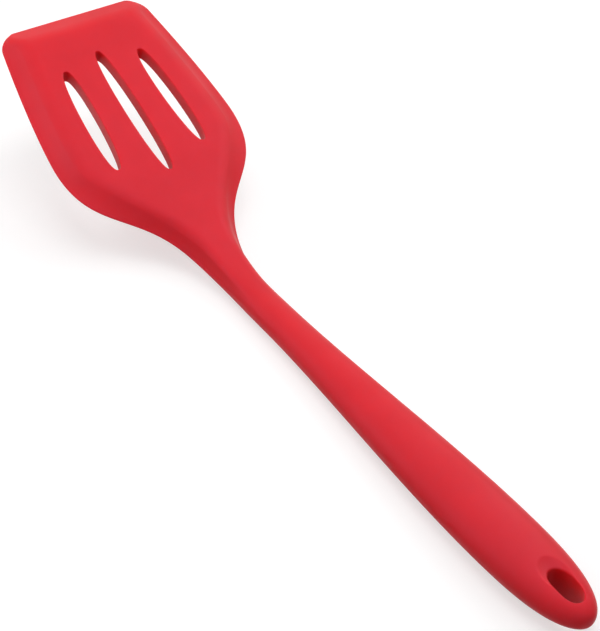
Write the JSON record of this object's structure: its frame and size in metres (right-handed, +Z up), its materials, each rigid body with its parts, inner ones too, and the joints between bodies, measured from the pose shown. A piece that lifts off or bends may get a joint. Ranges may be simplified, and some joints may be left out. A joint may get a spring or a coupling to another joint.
{
  "type": "slotted spatula",
  "caption": "Slotted turner moulded in silicone over a hidden steel core, with a bevelled blade, a cranked neck and an oval handle with a hanging hole.",
  "frame": {"origin": "on the worktop, under the middle of the tool's length and width", "axes": "+X along the handle towards the hanging hole, +Y across the blade, +Z up from the worktop; the underside of the handle lies on it and the blade rises towards -X"},
  "size_m": [0.3233, 0.08, 0.0599],
  "materials": {
    "red_silicone": "matte moulded silicone",
    "stainless_steel": "rolled and laser-cut stainless steel"
  },
  "bodies": {
    "root": {"silicone_body": "red_silicone", "blade_sheet": "stainless_steel", "handle_bar": "stainless_steel"}
  },
  "joints": []
}
